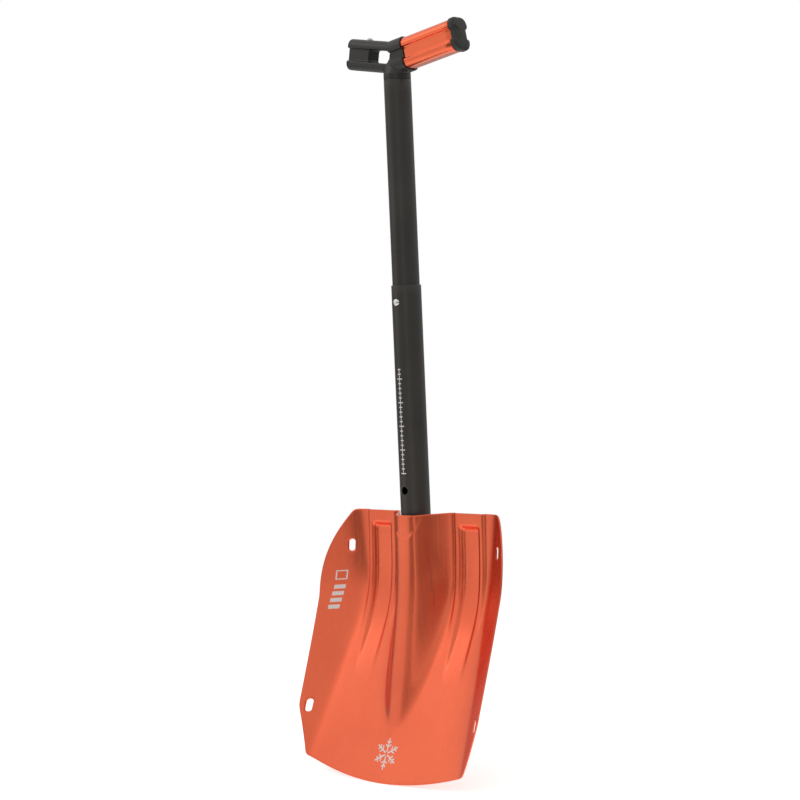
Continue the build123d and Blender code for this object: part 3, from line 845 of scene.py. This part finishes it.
def paper_material():
    """Pale paper that grows clear away from the middle."""
    material, nodes, links, shader = new_material("studio_paper")
    coords = nodes.new("ShaderNodeTexCoord")
    cloud = noise(nodes, links, coords, 3, detail=2)
    pale = tint(nodes, links, cloud, (0.90, 0.90, 0.90), (0.93, 0.93, 0.93))
    links.new(pale, shader.inputs["Base Color"])
    shader.inputs["Roughness"].default_value = 0.9
    shader.inputs["Emission Color"].default_value = (1, 1, 1, 1)
    shader.inputs["Emission Strength"].default_value = 0.45
    away = nodes.new("ShaderNodeVectorMath")
    away.operation = "LENGTH"
    links.new(coords.outputs["Object"], away.inputs[0])
    faded = spread(nodes, links, away.outputs["Value"], 1.0, 0.0, 0.35, 1.6)
    links.new(faded, shader.inputs["Alpha"])
    return material


def aim(obj, place, target):
    """Put a lamp at a place, looking at the target."""
    obj.location = place
    obj.rotation_euler = (Vector(target) - Vector(place)).to_track_quat("-Z", "Y").to_euler()


def softbox(name, place, target, width, height, power):
    lamp = bpy.data.lights.new(name, "AREA")
    lamp.shape = "RECTANGLE"
    lamp.size = width
    lamp.size_y = height
    lamp.energy = power
    obj = bpy.data.objects.new(name, lamp)
    bpy.context.scene.collection.objects.link(obj)
    aim(obj, place, target)
    return obj


class WorldNodes:
    """Small helpers for the studio's surroundings, worked out from the direction of view."""

    def __init__(self, tree):
        self.nodes, self.links = tree.nodes, tree.links
        coords = self.nodes.new("ShaderNodeTexCoord")
        split = self.nodes.new("ShaderNodeSeparateXYZ")
        self.links.new(coords.outputs["Generated"], split.inputs[0])
        self.height = split.outputs["Z"]
        flat = self.nodes.new("ShaderNodeVectorMath")
        flat.operation = "MULTIPLY"
        flat.inputs[1].default_value = (1, 1, 0)
        self.links.new(coords.outputs["Generated"], flat.inputs[0])
        level = self.nodes.new("ShaderNodeVectorMath")
        level.operation = "NORMALIZE"
        self.links.new(flat.outputs[0], level.inputs[0])
        self.level = level.outputs[0]

    def smooth(self, value, start, end, low, high):
        node = self.nodes.new("ShaderNodeMapRange")
        node.interpolation_type = "SMOOTHSTEP"
        node.inputs["From Min"].default_value = start
        node.inputs["From Max"].default_value = end
        node.inputs["To Min"].default_value = low
        node.inputs["To Max"].default_value = high
        self.links.new(value, node.inputs["Value"])
        return node.outputs["Result"]

    def strip(self, azimuth, inner, outer, bright):
        """Upright strip at an azimuth from the front, full to inner and gone at outer degrees."""
        turn = radians(azimuth)
        node = self.nodes.new("ShaderNodeVectorMath")
        node.operation = "DOT_PRODUCT"
        node.inputs[1].default_value = (sin(turn), -cos(turn), 0)
        self.links.new(self.level, node.inputs[0])
        ends = cos(radians(outer)), cos(radians(inner))
        return self.smooth(node.outputs["Value"], *ends, 0.0, bright)

    def math(self, operation, one, two):
        node = self.nodes.new("ShaderNodeMath")
        node.operation = operation
        for socket, value in zip(node.inputs, (one, two)):
            if isinstance(value, (int, float)):
                socket.default_value = value
            else:
                self.links.new(value, socket)
        return node.outputs[0]


def make_world():
    """Dim room with upright strip lights and a bright ceiling; plain white to the camera."""
    world = bpy.data.worlds.new("studio_world")
    bpy.context.scene.world = world
    world.use_nodes = True
    tree = world.node_tree
    kit = WorldNodes(tree)
    low = ROOM
    for azimuth, inner, outer, bright in STRIPS:
        low = kit.math("ADD", low, kit.strip(azimuth, inner, outer, bright))
    high = kit.math("ADD", CEILING, kit.strip(*CEILING_LOBE))
    share = kit.smooth(kit.height, *CEILING_EDGE, 0.0, 1.0)
    lit = kit.math("ADD", kit.math("MULTIPLY", share, high),
                   kit.math("MULTIPLY", kit.math("SUBTRACT", 1.0, share), low))
    background = tree.nodes["Background"]
    background.inputs["Color"].default_value = (1.0, 0.985, 0.965, 1)
    tree.links.new(lit, background.inputs["Strength"])
    seen = tree.nodes.new("ShaderNodeBackground")
    seen.inputs["Color"].default_value = (1, 1, 1, 1)
    seen.inputs["Strength"].default_value = 1.0
    path = tree.nodes.new("ShaderNodeLightPath")
    mix = tree.nodes.new("ShaderNodeMixShader")
    tree.links.new(path.outputs["Is Camera Ray"], mix.inputs[0])
    tree.links.new(background.outputs[0], mix.inputs[1])
    tree.links.new(seen.outputs[0], mix.inputs[2])
    tree.links.new(mix.outputs[0], tree.nodes["World Output"].inputs["Surface"])


floor = make_floor()
dress(floor, paper_material())
make_world()
softbox("key", (-1.3, -1.7, 2.4), (0, 0, 0.4), 1.3, 1.3, 5.5)
bpy.context.scene.view_settings.view_transform = "Standard"

# ---- camera: beside the shovel's front, nearly level -------------------------------------
CAMERA_TURN, CAMERA_PITCH, CAMERA_ROLL = radians(39.0), radians(2.8), radians(2.45)
CAMERA_DISTANCE, CAMERA_HEIGHT = 2.0, 0.492
FOCAL_PX, SIDE_PX, FRAME_PX = 1887.0, 11.06, 800.0
SENSOR_WIDTH = 36.0


def place_camera():
    """Long lens, turned and rolled so that the shovel leans a little."""
    camera = bpy.data.cameras.new("camera")
    camera.sensor_width = SENSOR_WIDTH
    camera.lens = SENSOR_WIDTH * FOCAL_PX / FRAME_PX
    obj = bpy.data.objects.new("camera", camera)
    bpy.context.scene.collection.objects.link(obj)
    level = cos(CAMERA_PITCH)
    forward = Vector((-sin(CAMERA_TURN) * level, cos(CAMERA_TURN) * level, -sin(CAMERA_PITCH)))
    right = Vector((cos(CAMERA_TURN), sin(CAMERA_TURN), 0))
    yaw = atan(SIDE_PX / FOCAL_PX)
    turned = forward * cos(yaw) - right * sin(yaw)
    right = right * cos(yaw) + forward * sin(yaw)
    up = right.cross(turned)
    rolled_right = right * cos(CAMERA_ROLL) - up * sin(CAMERA_ROLL)
    rolled_up = right * sin(CAMERA_ROLL) + up * cos(CAMERA_ROLL)
    axes = Matrix((rolled_right, rolled_up, -turned)).transposed().to_4x4()
    aside = sin(CAMERA_TURN) * CAMERA_DISTANCE
    before = SHAFT_Y * MM - cos(CAMERA_TURN) * CAMERA_DISTANCE
    place = Vector((aside, before, CAMERA_HEIGHT))
    obj.matrix_world = Matrix.Translation(place) @ axes
    bpy.context.scene.camera = obj


place_camera()
